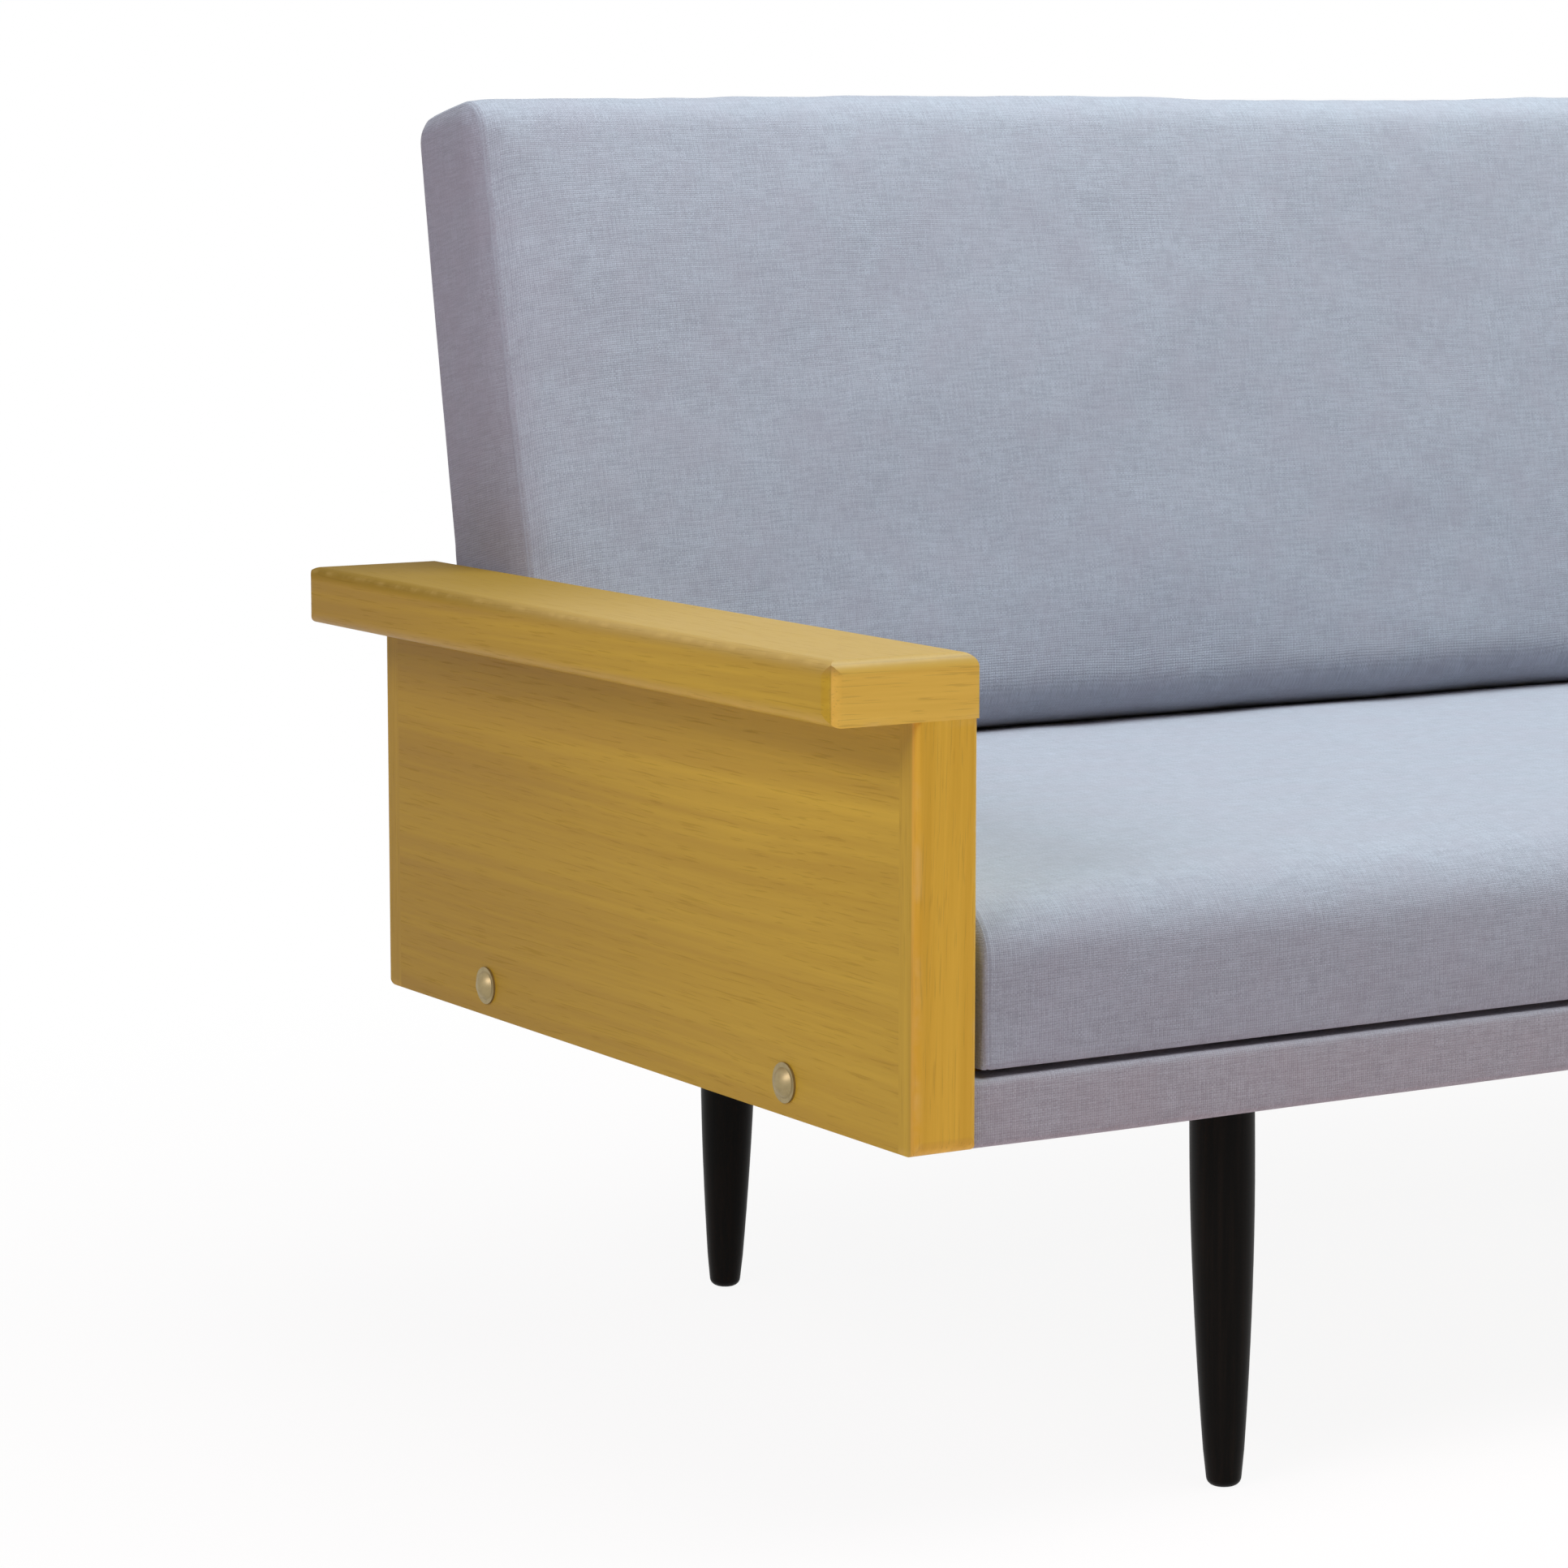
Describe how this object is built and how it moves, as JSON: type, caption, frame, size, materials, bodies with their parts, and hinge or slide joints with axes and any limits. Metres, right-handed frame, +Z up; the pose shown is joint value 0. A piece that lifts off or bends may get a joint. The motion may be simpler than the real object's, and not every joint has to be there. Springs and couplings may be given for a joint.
{
  "type": "sofa",
  "caption": "Low sofa with veneered arm panels, overhanging armrests, tapered legs, a leaning padded back and a seat that draws forward on runners.",
  "frame": {"origin": "on the floor, at the middle of the sofa's width and depth", "axes": "+X to the viewer's right when facing the sofa's front, +Y to the rear of the sofa, +Z up"},
  "size_m": [1.9, 0.7505, 0.8891],
  "materials": {
    "grey_fabric": "woven melange, matt",
    "rail_fabric": "woven melange, matt",
    "rear_lining": "plain lining, matt",
    "foam": "open cell foam",
    "webbing": "woven webbing",
    "ash_veneer": "satin lacquer, grain along the arm",
    "ash_solid": "satin lacquer",
    "black_stain": "satin black stain",
    "beech": "planed, unfinished",
    "runner_nylon": "smooth",
    "nickel_steel": "nickel plated",
    "black_steel": "satin black powder coat"
  },
  "bodies": {
    "frame": {"front_rail": "beech", "rear_rail": "beech", "left_end_rail": "beech", "right_end_rail": "beech", "left_cross_rail": "beech", "right_cross_rail": "beech", "centre_cross_rail": "beech", "corner_blocks": "beech", "leg_blocks": "beech", "runner_strips": "runner_nylon", "front_rail_cover": "rail_fabric", "rear_rail_cover": "rail_fabric", "front_left_leg": "black_stain", "front_right_leg": "black_stain", "rear_left_leg": "black_stain", "rear_right_leg": "black_stain", "leg_studs": "nickel_steel", "leg_inserts": "nickel_steel", "left_arm_panel": "ash_veneer", "left_front_lipping": "ash_solid", "left_rear_lipping": "ash_solid", "left_armrest": "ash_solid", "left_arm_dowels": "beech", "left_arm_bolts": "nickel_steel", "left_arm_washers": "nickel_steel", "left_arm_nuts": "nickel_steel", "right_arm_panel": "ash_veneer", "right_front_lipping": "ash_solid", "right_rear_lipping": "ash_solid", "right_armrest": "ash_solid", "right_arm_dowels": "beech", "right_arm_bolts": "nickel_steel", "right_arm_washers": "nickel_steel", "right_arm_nuts": "nickel_steel", "back_brackets": "black_steel", "bracket_bolts": "nickel_steel", "bracket_nuts": "nickel_steel", "bracket_screws": "nickel_steel", "back_bottom_rail": "beech", "back_top_rail": "beech", "back_uprights": "beech", "back_webbing": "webbing", "back_foam": "foam", "back_cover": "grey_fabric", "back_rear_board": "rear_lining"},
    "seat": {"seat_front_member": "beech", "seat_rear_member": "beech", "seat_end_members": "beech", "seat_cross_members": "beech", "seat_guides": "beech", "seat_stop_pins": "nickel_steel", "seat_webbing": "webbing", "seat_foam": "foam", "seat_cover": "grey_fabric"}
  },
  "joints": [
    {"name": "seat_slide", "type": "slide", "parent": "frame", "child": "seat", "axis": [0, -1, 0], "range_m": [0, 0.11]}
  ]
}
